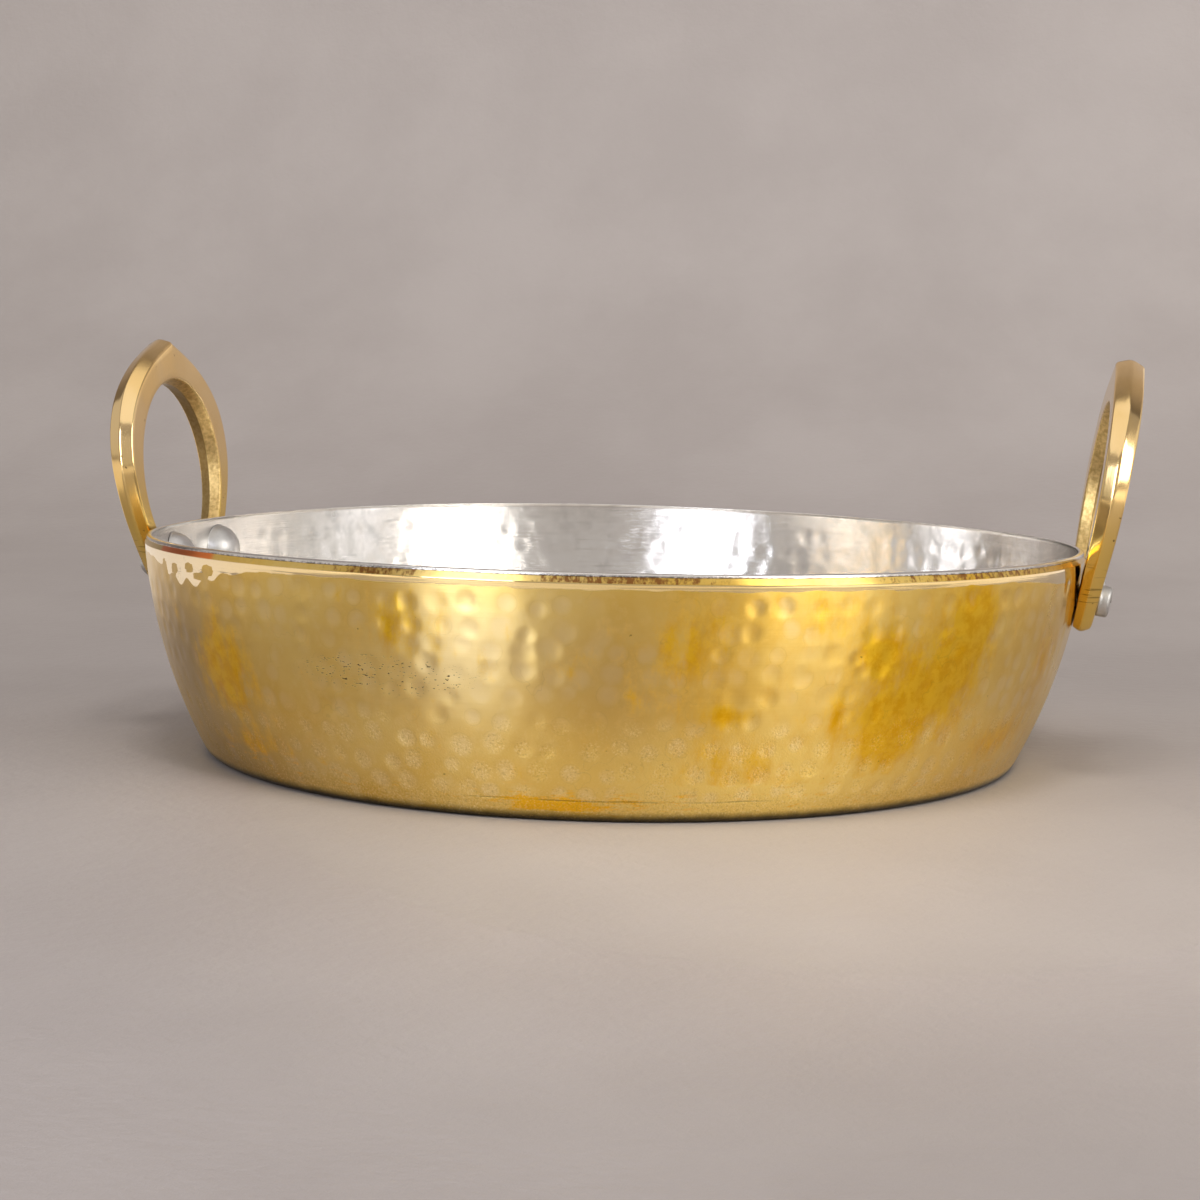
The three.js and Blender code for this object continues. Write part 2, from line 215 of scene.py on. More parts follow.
def mesh_piece(name, grid, tube=False, **values):
    """A closed mesh from a grid of points that is closed across its columns. A tube closes its rows too;
    otherwise the first and last rows are closed with a point in their middle. Extra values become
    attributes. The faces are turned outwards by the sign of the enclosed volume."""
    rows, columns = grid.shape[:2]
    points = grid.reshape(-1, 3)
    row, column = np.meshgrid(np.arange(rows if tube else rows - 1), np.arange(columns), indexing="ij")
    after, beside = (row + 1) % rows, (column + 1) % columns
    here, there = row * columns, after * columns
    quads = np.stack([here + column, here + beside, there + beside, there + column], -1).reshape(-1, 4)
    fans = np.zeros((0, 3), int)
    if not tube:
        points = np.concatenate([points, grid[:1].mean(1), grid[-1:].mean(1)])
        ring = np.arange(columns)
        last = (rows - 1) * columns
        first_fan = np.stack([ring * 0 + rows * columns, (ring + 1) % columns, ring], -1)
        last_fan = np.stack([ring * 0 + rows * columns + 1, last + ring, last + (ring + 1) % columns], -1)
        fans = np.concatenate([first_fan, last_fan])
    corners = np.concatenate([quads[:, [0, 1, 2]], quads[:, [0, 2, 3]], fans])
    a, b, c = (points[corners[:, k]] for k in range(3))
    if np.einsum("ij,ij->", a, np.cross(b, c)) < 0:
        quads, fans = quads[:, ::-1], fans[:, ::-1]
    mesh = bpy.data.meshes.new(name)
    mesh.from_pydata(points.tolist(), [], quads.tolist() + fans.tolist())
    mesh.shade_smooth()
    for label, value in values.items():
        spread = np.broadcast_to(value, (rows, columns)).astype(np.float32)
        ends = [] if tube else [spread[:1].mean(1), spread[-1:].mean(1)]
        flat = np.concatenate([spread.ravel(), *ends])
        mesh.attributes.new(label, "FLOAT", "POINT").data.foreach_set("value", flat)
    piece = bpy.data.objects.new(name, mesh)
    bpy.context.scene.collection.objects.link(piece)
    return piece


class Shade:
    """A socket in a material that takes part in Python arithmetic: each operator adds a Math node."""

    def __init__(self, tree, socket):
        self.tree = tree
        self.socket = socket

    def node(self, kind, settings, sockets, output=0):
        """Adds a node of a kind, sets its settings, then gives each socket its value or link."""
        made = self.tree.nodes.new(kind)
        for name, value in settings.items():
            setattr(made, name, value)
        for key, value in sockets.items():
            if isinstance(value, Shade):
                self.tree.links.new(value.socket, made.inputs[key])
            else:
                made.inputs[key].default_value = value
        return Shade(self.tree, made.outputs[output])

    def math(self, operation, first, second):
        """A Math node on two values or links."""
        return self.node("ShaderNodeMath", {"operation": operation}, {0: first, 1: second})

    def __add__(self, other):
        return self.math("ADD", self, other)

    def __radd__(self, other):
        return self.math("ADD", other, self)

    def __sub__(self, other):
        return self.math("SUBTRACT", self, other)

    def __rsub__(self, other):
        return self.math("SUBTRACT", other, self)

    def __mul__(self, other):
        return self.math("MULTIPLY", self, other)

    def __rmul__(self, other):
        return self.math("MULTIPLY", other, self)

    def __abs__(self):
        return self.math("ABSOLUTE", self, 0.0)

    def rise(self, low, high):
        """0 up to low, 1 from high, smooth between."""
        ends = {"Value": self, "From Min": low, "From Max": high, "To Min": 0.0, "To Max": 1.0}
        return self.node("ShaderNodeMapRange", {"interpolation_type": "SMOOTHSTEP"}, ends)

    def mix(self, first, second):
        """The first colour where this is 0 and the second where it is 1."""
        return self.node("ShaderNodeMix", {"data_type": "RGBA"}, {0: self, 6: first, 7: second}, 2)

    def stretched(self, across, up):
        """These coordinates scaled by one number across and another up."""
        scales = (across, across, up)
        return self.node("ShaderNodeVectorMath", {"operation": "MULTIPLY"}, {0: self, 1: scales})

    def noise(self, scale, detail, roughness=0.5):
        """Cloudy noise from 0 to 1 on these coordinates."""
        sockets = {"Vector": self, "Scale": scale, "Detail": detail, "Roughness": roughness}
        return self.node("ShaderNodeTexNoise", {}, sockets)

    def value(self, name):
        """The piece's own attribute of that name."""
        return self.node("ShaderNodeAttribute", {"attribute_name": name}, {}, 2)

    def bump(self, distance, height):
        """A normal from a height that is counted in units of the distance."""
        sockets = {"Strength": 1.0, "Distance": distance, "Height": height}
        return self.node("ShaderNodeBump", {}, sockets)


def new_material(name):
    """An empty material, and the object's own coordinates in it."""
    material = bpy.data.materials.new(name)
    material.use_nodes = True
    material.node_tree.nodes.clear()
    coordinates = material.node_tree.nodes.new("ShaderNodeTexCoord")
    return material, Shade(material.node_tree, coordinates.outputs["Object"])


def cover(piece, material, shader):
    """Ends a material in its shader and puts it on a piece."""
    if "Material Output" not in material.node_tree.nodes:
        end = material.node_tree.nodes.new("ShaderNodeOutputMaterial")
        material.node_tree.links.new(shader.socket, end.inputs["Surface"])
    piece.data.materials.append(material)


out_r, out_z = pan_line(0, LIP_FOOT - 0.1 * MM, *OUTSIDE_ROWS)
slope = np.array([0.03, 0.1, 0.4, 0.7, 0.95, 1.0])
slope_r = wall_radius(LIP_FOOT, 0) - LIP_SET_IN * slope
slope_z = LIP_FOOT + (LIP_TOP - LIP_FOOT) * slope
in_r, in_z = pan_line(HIDDEN_INSET, LIP_TOP, *HIDDEN_ROWS)
shell_r = np.concatenate([out_r, slope_r, in_r[::-1]])[:, None]
shell_z = np.concatenate([out_z, slope_z, in_z[::-1]])[:, None]
shell_row = np.arange(len(shell_r))[:, None]
outside = shell_row < len(out_r)
on_slope = (shell_row >= len(out_r)) & (shell_row < len(out_r) + len(slope))
shell_angle = (np.arange(SHELL_SIDES) / SHELL_SIDES * TURN)[None, :]
marked = span(shell_z, *MARKED) * outside
dent, nearness = hammer_marks(shell_angle, shell_z, 1.0)
dent = dent * marked
nearness = 2 - (2 - nearness) * marked
lean = np.arcsin((wall_centre_z - shell_z) / wall_arc)
round_r = shell_r - dent * np.cos(lean) + rim_stray(ROUND_WAVES, shell_angle, shell_z)
shell_grid = np.stack([
    round_r * np.cos(shell_angle),
    round_r * np.sin(shell_angle),
    shell_z + dent * np.sin(lean) + rim_stray(LEVEL_WAVES, shell_angle, shell_z),
], -1)


def upright_patch(much, at_degrees, wide_degrees):
    """A soft patch of some strength that is the same at every height."""
    return much * patch(shell_angle, 0, at_degrees, 0, wide_degrees, 1)


def spots(table):
    """Sum of soft patches on the shell, from a table in the form of the stains."""
    return sum(
        much * patch(shell_angle, shell_z, at, up * MM, wide, tall * MM) for much, at, up, wide, tall in table
    )


degrees = (np.degrees(shell_angle) + 180) % 360 - 180
polish_foot = POLISH_FOOT - upright_patch(*POLISH_DIP)
polish = 0.07 * smooth(shell_z, polish_foot - POLISH_FADE[0], polish_foot + POLISH_FADE[1])
polish = np.maximum(polish, 0.95 * spots(HANDLE_SPOTS))
fingers = 1 + 0.2 * np.cos((np.degrees(shell_angle) + FINGER_TURN) / FINGER_PITCH * TURN)
fresh_foot = FRESH_FOOT - upright_patch(FRESH_TONGUE * fingers, *TONGUE_PLACE)
for much, at, wide in FRESH_DIPS:
    fresh_foot = fresh_foot - upright_patch(much * MM, at, wide)
fresh = np.where(outside, (shell_z - fresh_foot) / MM, -9) - 9 * smooth(spots(HOLLOWS), 0.25, 0.55)
rusty = on_slope * span(degrees, *RED_REFLECTION_SPAN)
burnt = on_slope * sum(upright_patch(*burn) for burn in LIP_BURNS_AND_DARK_REFLECTIONS)
bare = sum(upright_patch(*spot) for spot in BARE_SPOTS)
creased = span(np.degrees(shell_angle), *CREASED_SPAN)
shell = mesh_piece(
    "hammered_shell", shell_grid, nearness=nearness, polish=polish, fresh=fresh, amber=spots(STAINS),
    pale=spots(PALE_AND_HIGHLIGHT_SPOTS), pitted=spots(PITTED_SPOTS), creased=creased, rusty=rusty, burnt=burnt,
    dull=spots(DULL_SPOTS), gilt=spots(PAINTED_SHEEN_SPOTS), bare=bare,
)

shell_look, place = new_material("hammered_brass")
height = place.node("ShaderNodeSeparateXYZ", {}, {"Vector": place}, 2)
nearness = place.value("nearness")
inside = nearness.rise(1.1, 0.4)
arcs = abs(nearness - 0.95).rise(0.16, 0.03) * place.noise(110, 2).rise(0.50, 0.66)
fresh = (place.value("fresh") + 1.6 * (place.noise(130, 3) - 0.5)).rise(-0.12, 0.12)
polished = fresh.math("MAXIMUM", fresh, place.value("polish"))
cloud = place.noise(30, 5, 0.6)
drips = place.stretched(1, 0.35).noise(150, 6, 0.65)
mottle = place.noise(210, 6, 0.7)
runs = place.stretched(1, 5).noise(130, 4, 0.65)
low_runs = height.rise(0.012, 0.008) * (4.5 * (runs - 0.5) - 0.4)
stain = place.value("amber") + 2.1 * (drips - 0.5) + 0.6 * (cloud - 0.5) + 1.1 * (mottle - 0.5) + low_runs
tarnish = stain.rise(0.0, 1.05)
stipple = place.noise(1800, 2, 0.6)
dashes = place.stretched(1, 2.6).noise(850, 2).rise(0.645, 0.665) * place.value("pitted").rise(0.15, 0.6)
specks = place.noise(480, 2).rise(0.775, 0.80)
hairs = abs(place.noise(75, 3) - 0.5).rise(0.005, 0.0015) * place.noise(45, 2).rise(0.55, 0.63)
crease_line = abs(height + 0.0010 * (place.noise(50, 2) - 0.5) - 0.006).rise(0.0003, 0.0001)
crease = crease_line * place.value("creased") * place.noise(80, 2).rise(0.30, 0.60)
sandy = (height + 0.012 * (place.noise(60, 3) - 0.5)).rise(0.030, 0.022)
colour = cloud.rise(0.35, 0.65).mix(BRASS_LIGHT, BRASS_DEEP)
colour = ((mottle + drips).rise(0.95, 1.25) * 0.45).mix(colour, BRASS_WORN)
# Paler brass: partly the metal's own, partly a painted highlight.
colour = (place.value("pale") * 0.75).mix(colour, BRASS_PALE_AND_HIGHLIGHT)
# Painted sheen: brighter gold low on the wall, for the reflection of a lit floor.
colour = place.value("gilt").mix(colour, BRASS_PAINTED_SHEEN)
# Paler dent floors: partly less tarnish, partly a painted sheen that makes the dents show.
dent_floor_sheen = (nearness + 1.4 * (mottle - 0.5)).rise(1.2, 0.1) * place.noise(55, 2).rise(0.40, 0.62)
colour = (dent_floor_sheen * 0.32).mix(colour, DENT_FLOOR_SHEEN)
colour = (place.value("dull") * 0.85).mix(colour, BRASS_DULL)
amber_colour = mottle.rise(0.4, 0.6).mix(AMBER_DEEP, AMBER_LIGHT)
amber_colour = height.rise(0.012, 0.008).mix(amber_colour, AMBER_LOW)
colour = tarnish.mix(colour, amber_colour)
colour = (fresh * 0.9).mix(colour, place.value("bare").mix(FRESH_GOLD, FRESH_BARE))
# Dark brown on the lip's slope, partly a burnt tint and partly a painted dark reflection.
burn_and_dark_reflection_mix = (place.value("burnt") + 4 * (place.stretched(1, 0.5).noise(700, 4, 0.7) - 0.5)).rise(0.2, 1.0)
burn_and_dark_reflection_mix = burn_and_dark_reflection_mix * place.value("burnt").rise(0.05, 0.3)
colour = (burn_and_dark_reflection_mix * 0.92).mix(colour, BURN_AND_REFLECTION_BROWN)
# Painted reddish-brown reflection on the far left of the lip's slope.
colour = (place.value("rusty") * 0.9).mix(colour, RED_REFLECTION)
# Near black over the lowest few millimetres of the wall: partly soot, partly painted shade where the foot
# meets the floor.
soot_and_shade = (height + 0.0012 * (place.noise(240, 4) - 0.5)).rise(0.0036, 0.0008)
colour = (soot_and_shade * 0.93).mix(colour, SOOT_AND_SHADE_BLACK)
# Dark brown for pits, specks and hairline scratches, with painted shade along the crease and round the dents'
# rims.
colour = (dashes + specks * 0.5 + crease * 0.4 + hairs * 0.1 + arcs * 0.06).mix(colour, PIT_AND_SHADE_BROWN)
buffing = place.stretched(25, 1300).noise(1, 2, 0.6)
smear = 0.305 + 0.05 * (cloud - 0.5) + 0.02 * (buffing - 0.5)
planish = place.noise(65, 2)
buffed = place.node("ShaderNodeBsdfPrincipled", {}, {
    "Base Color": colour,
    "Metallic": 1.0,
    "Roughness": smear - (smear - 0.07) * polished,
    "Anisotropic": 0.9,
    "Anisotropic Rotation": 0.25,
    "Normal": place.bump(0.00003, 0.8 * buffing - dashes - 0.15 * arcs + 6 * planish),
})
low_foot = height.rise(0.010, 0.005)
sand = (stipple - 0.5) * (0.4 + 0.6 * inside.math("MAXIMUM", inside, low_foot))
matt_colour = (sand.rise(-0.03, -0.2) * 0.4).mix(colour, SAND_DARK)
matt_colour = (sand.rise(0.0, 0.2) * (0.55 - 0.25 * tarnish) * (1 - soot_and_shade)).mix(matt_colour, SAND_LIGHT)
matt = place.node("ShaderNodeBsdfPrincipled", {}, {
    "Base Color": matt_colour,
    "Metallic": 1.0,
    "Roughness": 0.36 + 0.05 * inside + 0.12 * (stipple - 0.5),
    "Anisotropic": 0.75,
    "Anisotropic Rotation": 0.25,
    "Normal": place.bump(0.00015, sand - 0.4 * crease - 0.04 * arcs + planish),
})
cover(shell, shell_look, place.node("ShaderNodeMixShader", {}, {0: sandy, 1: buffed, 2: matt}))
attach(shell, "root")
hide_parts("pan_body")

# Tin lining: molten tin wiped over the inside by hand and over the top of the lip, where it ends in a
# ragged edge. The hammer's marks show through it as soft bumps, and the wiping left fine lines round it.
TIN_SIDES = 720
TIN_INSET = 2.2 * MM
FACE_ROWS = (24, 66)
BACK_ROWS = (6, 10)
HAIR = 0.05 * MM  # kept between faces that touch
TIN_COAT = 0.25 * MM  # how far the tin stands off the brass on the lip
TIN_REACH = 0.85 * MM  # how far it comes down the slope of the lip
TIN_RAGGED = 0.14 * MM
TIN_LIMITS = (0.35 * MM, 1.7 * MM)  # least and most that the ragged edge comes down
CREST_RISE = 0.3 * MM  # the rounded tin on top of the lip
BULGE = 0.65  # height of the bumps, as a share of the marks' depth
BULGED = (4 * MM, 9 * MM, 57 * MM, 61 * MM)  # heights where they begin, are full, fade and end
BASE_WAVE = 0.05 * MM
TIN_LIGHT = (0.88, 0.85, 0.81, 1)
TIN_DULL = (0.78, 0.745, 0.70, 1)
TIN_STREAK = (0.46, 0.43, 0.40, 1)
TIN_MOTTLE = (0.52, 0.50, 0.48, 1)
TIN_GRIME = (0.07, 0.055, 0.04, 1)

tin_angle = (np.arange(TIN_SIDES) / TIN_SIDES * TURN)[None, :]
face_r, face_z = pan_line(TIN_INSET, LIP_TOP - 0.1 * MM, *FACE_ROWS)
back_r, back_z = pan_line(BRASS_THICKNESS + HAIR, LIP_TOP, *BACK_ROWS)
slope_run = math.hypot(LIP_SET_IN, LIP_TOP - LIP_FOOT)
slope_out, slope_up = LIP_SET_IN / slope_run, (LIP_TOP - LIP_FOOT) / slope_run
lip_r = wall_radius(LIP_FOOT, 0) - LIP_SET_IN
tin_dice = np.random.default_rng(5)
ragged = sum(
    tin_dice.normal(0, 1) / wave**0.5 * np.sin(wave * tin_angle + tin_dice.uniform(0, TURN))
    for wave in (3, 7, 13, 21, 34, 55, 80, 110, 150, 190, 230)
)
reach = np.clip(TIN_REACH + TIN_RAGGED * ragged, *TIN_LIMITS)


def over_lip(run, coat):
    """Points on the lip's slope: a share of the tin's ragged reach down it, and a thickness off it."""
    down = np.array(run)[:, None] * reach
    off = np.array(coat)[:, None]
    return lip_r + down * slope_out + off * slope_up, LIP_TOP - down * slope_up + off * slope_out


crest = np.radians(np.linspace(180, 20, 7))[:, None]
crest_r = (lip_r + face_r[-1]) / 2 + (lip_r + TIN_COAT - face_r[-1]) / 2 * np.cos(crest) + 0 * tin_angle
crest_z = LIP_TOP - HAIR + CREST_RISE * np.sin(crest) + 0 * tin_angle
coat_off = np.array([1, 1, 1, 1, 0.95, 0.75, 0.4, 0.05]) * TIN_COAT
coat_r, coat_z = over_lip([0.1, 0.3, 0.5, 0.7, 0.85, 0.95, 1.0, 1.0], coat_off)
under_r, under_z = over_lip([0.6, 0.0], np.array([0.05, 0.05]) * TIN_COAT)
flat = np.ones_like(tin_angle)
tin_r = np.concatenate([face_r[:, None] * flat, crest_r, coat_r, under_r, back_r[::-1, None] * flat])
tin_z = np.concatenate([face_z[:, None] * flat, crest_z, coat_z, under_z, back_z[::-1, None] * flat])
on_face = (np.arange(len(tin_r)) < len(face_r))[:, None]
bulge = BULGE * hammer_marks(tin_angle, tin_z, 1.15)[0] * on_face
bulge = bulge * span(tin_z, *BULGED)
base_marks = on_face * smooth(-tin_z, -4 * MM, -2.6 * MM) * smooth(tin_r, 8 * MM, 40 * MM)
rings = np.sin(tin_r / (5.5 * MM) + 1.2 * np.sin(3 * tin_angle))
spokes = np.sin(tin_angle * 9 + tin_r / (9 * MM))
base_wave = BASE_WAVE * base_marks * rings * spokes
round_r = tin_r - bulge + rim_stray(ROUND_WAVES, tin_angle, tin_z)
tin_grid = np.stack([
    round_r * np.cos(tin_angle),
    round_r * np.sin(tin_angle),
    tin_z + base_wave + rim_stray(LEVEL_WAVES, tin_angle, tin_z),
], -1)
edge_row = len(face_r) + len(crest)
tin_edge = smooth(np.arange(len(tin_r)), edge_row + 1, edge_row + 5)[:, None]
tin = mesh_piece("wiped_tin", tin_grid, edge=tin_edge)

tin_look, place = new_material("wiped_tin")
wiping = place.stretched(28, 3600).noise(1, 4, 0.75)
mottle = place.noise(95, 5, 0.65)
dull = place.noise(16, 3).rise(0.4, 0.7)
streaks = place.stretched(70, 1100).noise(1, 3, 0.7).rise(0.58, 0.75)
grime = place.noise(1100, 3, 0.7).rise(0.42, 0.56) * place.value("edge")
tin_colour = dull.mix(TIN_LIGHT, TIN_DULL)
tin_colour = (streaks * 0.45).mix(tin_colour, TIN_STREAK)
tin_colour = (mottle.rise(0.5, 0.7) * 0.35).mix(tin_colour, TIN_MOTTLE)
tin_colour = (grime * 0.85).mix(tin_colour, TIN_GRIME)
wiped = place.node("ShaderNodeBsdfPrincipled", {}, {
    "Base Color": tin_colour,
    "Metallic": 1.0,
    "Roughness": 0.22 + 0.25 * (mottle - 0.5) + 0.08 * (wiping - 0.5),
    "Anisotropic": 0.88,
    "Anisotropic Rotation": 0.25,
    "Normal": place.bump(0.00003, wiping + 4 * place.noise(120, 2)),
})
cover(tin, tin_look, wiped)
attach(tin, "root")
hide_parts("tin_lining")

# Ring handles: sand-cast brass, ground and polished on the faces, with two slopes that meet on a ridge
# round the outside. The round hole keeps the rough skin of the casting. Each sits against the wall on
# its foot and is held by two rivets.
HANDLE_PROUD = 5.1 * MM  # wall at the rivets to the outer face
CROWN_THICKNESS = 8.8 * MM
FOOT_THICKNESS = 5.8 * MM
HOLE_RADIUS = 28 * MM
HOLE_DRAFT = 1.1 * MM  # how much wider the hole is at the faces
LEG_WIDTH = 10.3 * MM
LEG_RISE = 4 * MM
CROWN_WIDTH = 14.2 * MM
CROWN_SLOPE = math.radians(20)
CROWN_PULL = 24 * MM
SHOULDER_PULL = 20 * MM
FLANK_PULL = 10 * MM
CORNER_PULL = 14 * MM
CORNER_RAKE = math.radians(35)
CORNER_LAND = 4.9 * MM
CORNER_ROUND = 6 * MM
BAR_WIDTH = 9.8 * MM
RIDGE_PROUD = 1.7 * MM
RIVET_SIDE = 17.5 * MM
RIVET_DROP = 12.5 * MM
RIVET_LAND = 4.4 * MM
HANDLE_SWEEP = math.radians(2.4)
HANDLE_SIDES = 480
FIT_GAP = 0.3 * MM
HANDLE_WANDER = 0.10 * MM  # how far the hand-ground ridge strays
SKIN_ROUGH = 0.018 * MM
CURVE_POINTS = 120
BEND_POINTS = 6
EDGE_POINTS = 5
HANDLE_TALL = 70 * MM  # rivets to crown, about
CAST_LIGHT = (0.96, 0.70, 0.35, 1)
CAST_DEEP = (0.89, 0.61, 0.25, 1)
CAST_WARM = (0.86, 0.60, 0.13, 1)
FILE_BROWN = (0.16, 0.10, 0.03, 1)
SKIN_DEEP = (0.54, 0.36, 0.13, 1)
SKIN_LIGHT = (0.80, 0.58, 0.25, 1)
SKIN_SHADED = (0.22, 0.14, 0.05, 1)
HOLE_BROWN = (0.12, 0.07, 0.03, 1)

hole_centre = math.sqrt((HOLE_RADIUS + RIVET_LAND) ** 2 - RIVET_SIDE**2)
crown_up = hole_centre + HOLE_RADIUS + CROWN_WIDTH
bottom_up = hole_centre - HOLE_RADIUS - BAR_WIDTH
seat_z = PAN_HEIGHT - RIVET_DROP
seat_lean = math.asin((wall_centre_z - seat_z) / wall_arc)
seat_radius = wall_centre_r + wall_arc * math.cos(seat_lean)


def seat_place(out, side, up, azimuth, splay):
    """A point of a handle's frame in the pan's frame. The frame stands on the rivets' line of the wall:
    out of the wall, sideways along the rim and up the handle, leaned out by the wall's lean and the
    splay, then turned."""
    tilt = seat_lean + splay
    x = seat_radius + out * math.cos(tilt) + up * math.sin(tilt)
    z = seat_z - out * math.sin(tilt) + up * math.cos(tilt)
    turn_x = x * math.cos(azimuth) - side * math.sin(azimuth)
    turn_y = x * math.sin(azimuth) + side * math.cos(azimuth)
    return np.stack(np.broadcast_arrays(turn_x, turn_y, z), -1)


def room_outside(out, side, up, azimuth, splay):
    """How far a point of a handle's frame lies outside the wall, level with it."""
    x, y, z = np.moveaxis(seat_place(out, side, up, azimuth, splay), -1, 0)
    level = np.minimum(z, PAN_HEIGHT)
    return np.hypot(x, y) - wall_radius(level, 0) - rim_stray(ROUND_WAVES, np.arctan2(y, x), level)


def ridge_points():
    """The ridge's outline, sideways and up: cubic curves from the crown's point over a shoulder, in along
    the flank to the corner at the rivet, round it to the bottom, and the same in mirror image."""
    wide = HOLE_RADIUS + LEG_WIDTH
    wide_z = hole_centre + LEG_RISE
    corner = RIVET_SIDE + CORNER_LAND
    bend = corner - (-CORNER_LAND - bottom_up) * math.tan(CORNER_RAKE)
    point = (CROWN_PULL * math.cos(CROWN_SLOPE), crown_up - CROWN_PULL * math.sin(CROWN_SLOPE))
    above = (
        corner + CORNER_PULL * math.sin(CORNER_RAKE),
        -CORNER_LAND + CORNER_PULL * math.cos(CORNER_RAKE),
    )
    run = bend - CORNER_ROUND
    pulls = np.array([
        [(0, crown_up), point, (wide, wide_z + SHOULDER_PULL), (wide, wide_z)],
        [(wide, wide_z), (wide, wide_z - FLANK_PULL), above, (corner, -CORNER_LAND)],
        [(corner, -CORNER_LAND), (bend, bottom_up), (bend, bottom_up), (run, bottom_up)],
        [(run, bottom_up), (run / 3, bottom_up), (-run / 3, bottom_up), (-run, bottom_up)],
    ])
    t = np.linspace(0, 1, CURVE_POINTS, endpoint=False)[:, None]
    weights = np.stack([(1 - t) ** 3, 3 * t * (1 - t) ** 2, 3 * t**2 * (1 - t), t**3])
    half = np.concatenate([np.einsum("kij,kd->id", weights, curve) for curve in pulls])
    other = half[1 : 3 * CURVE_POINTS][::-1] * [-1, 1]
    return np.concatenate([half, other])


def round_hole(points, angle):
    """Distance of an outline from the hole's middle, as a function of the angle round it."""
    side, up = points[:, 0], points[:, 1] - hole_centre
    order = np.argsort(np.arctan2(up, side))
    return np.interp(angle, np.arctan2(up, side)[order], np.hypot(side, up)[order], period=TURN)


def rounded_ring(corners, radii, bend_points, edge_points):
    """A closed section through corners that are eased by a curve: each corner is a quadratic curve that
    leaves and reaches its two edges at its radius from the corner, and the straight runs between hold
    a few points."""
    count = len(corners)
    rows = []
    for k in range(count):
        before, here, after = (corners[(k + i) % count] for i in (-1, 0, 1))
        toward, onward = before - here, after - here
        start = here + toward / np.linalg.norm(toward, axis=0) * radii[k]
        stop = here + onward / np.linalg.norm(onward, axis=0) * radii[k]
        t = np.linspace(0, 1, bend_points)[:, None, None]
        rows.append((1 - t) ** 2 * start + 2 * t * (1 - t) * here + t**2 * stop)
        back = here - after
        arrive = after + back / np.linalg.norm(back, axis=0) * radii[(k + 1) % count]
        t = np.linspace(0, 1, edge_points + 2)[1:-1, None, None]
        rows.append((1 - t) * stop + t * arrive)
    return np.concatenate(rows)


def ring_handle(name, azimuth, splay, seed):
    """A handle as a section carried round its hole. The section's corners are the hole's parting line,
    the hole's two edges, the two starts of the slopes and the ridge. It thins from the crown to the
    foot, and points that would enter the wall are held off it."""
    dice = np.random.default_rng(seed)
    angle = np.arange(HANDLE_SIDES) / HANDLE_SIDES * TURN
    outline = ridge_points()
    tangent = np.roll(outline, -1, 0) - np.roll(outline, 1, 0)
    normal = np.stack([-tangent[:, 1], tangent[:, 0]], -1) / np.linalg.norm(tangent, axis=1)[:, None]
    normal *= np.sign(np.sum(normal * (outline - [0, hole_centre]), 1))[:, None]
    wander = sum(
        dice.normal(0, HANDLE_WANDER) * np.sin(k * angle + dice.uniform(0, TURN)) for k in (2, 3, 5, 7, 11)
    )
    ridge = round_hole(outline, angle) + wander
    slope_start = round_hole(outline - RIDGE_PROUD * normal, angle) + 0.6 * wander
    inner, outer = HANDLE_PROUD - CROWN_THICKNESS, HANDLE_PROUD
    middle = (inner + outer) / 2 + 0.6 * wander
    hole = HOLE_RADIUS + 0 * angle
    corners = [
        np.stack([hole, middle]),
        np.stack([hole + HOLE_DRAFT, outer + 0 * angle]),
        np.stack([slope_start, outer + 0.5 * wander]),
        np.stack([ridge, middle]),
        np.stack([slope_start, inner + 0.5 * wander]),
        np.stack([hole + HOLE_DRAFT, inner + 0 * angle]),
    ]
    worn = smooth(-np.sin(angle), 0.2, 0.8) + 0.8 * smooth(np.sin(angle), 0.9, 1)
    radii = [much * MM for much in (0.3, 0.8, 0.6 + 0.6 * worn, 0.7 + 1.1 * worn, 0.6 + 0.6 * worn, 0.8)]
    section = rounded_ring(corners, radii, BEND_POINTS, EDGE_POINTS)
    away, out = section[:, 0], section[:, 1]
    rows = len(away)
    # The section starts on the hole's parting line, so the hole has its first rows and its last ones.
    in_hole = np.zeros((rows, 1))
    in_hole[[*range(0, 13), *range(rows - 8, rows)]] = 1
    # The skin is darker on the half of the hole towards the outer face.
    shaded = np.zeros((rows, 1))
    shaded[2:12] = 1
    skin = dice.normal(0, 1, away.shape)
    for shift in (1, 2):
        skin = (skin + np.roll(skin, shift, 1) + np.roll(skin, shift, 0)) / 2.2
    away = away + in_hole * SKIN_ROUGH * skin
    side = away * np.cos(angle)
    up = hole_centre + away * np.sin(angle)
    gain = (CROWN_THICKNESS - FOOT_THICKNESS) * (up - bottom_up) / (crown_up - bottom_up)
    thickness = FOOT_THICKNESS + gain
    out = HANDLE_PROUD - (HANDLE_PROUD - out) * thickness / CROWN_THICKNESS
    for _ in range(3):
        out = out + np.maximum(FIT_GAP - room_outside(out, side, up, azimuth, splay), 0) * (up < RIVET_DROP)
    points = seat_place(out, side, up, azimuth, splay)
    return mesh_piece(name, points, tube=True, cast=in_hole, shaded=shaded, up=up / HANDLE_TALL)


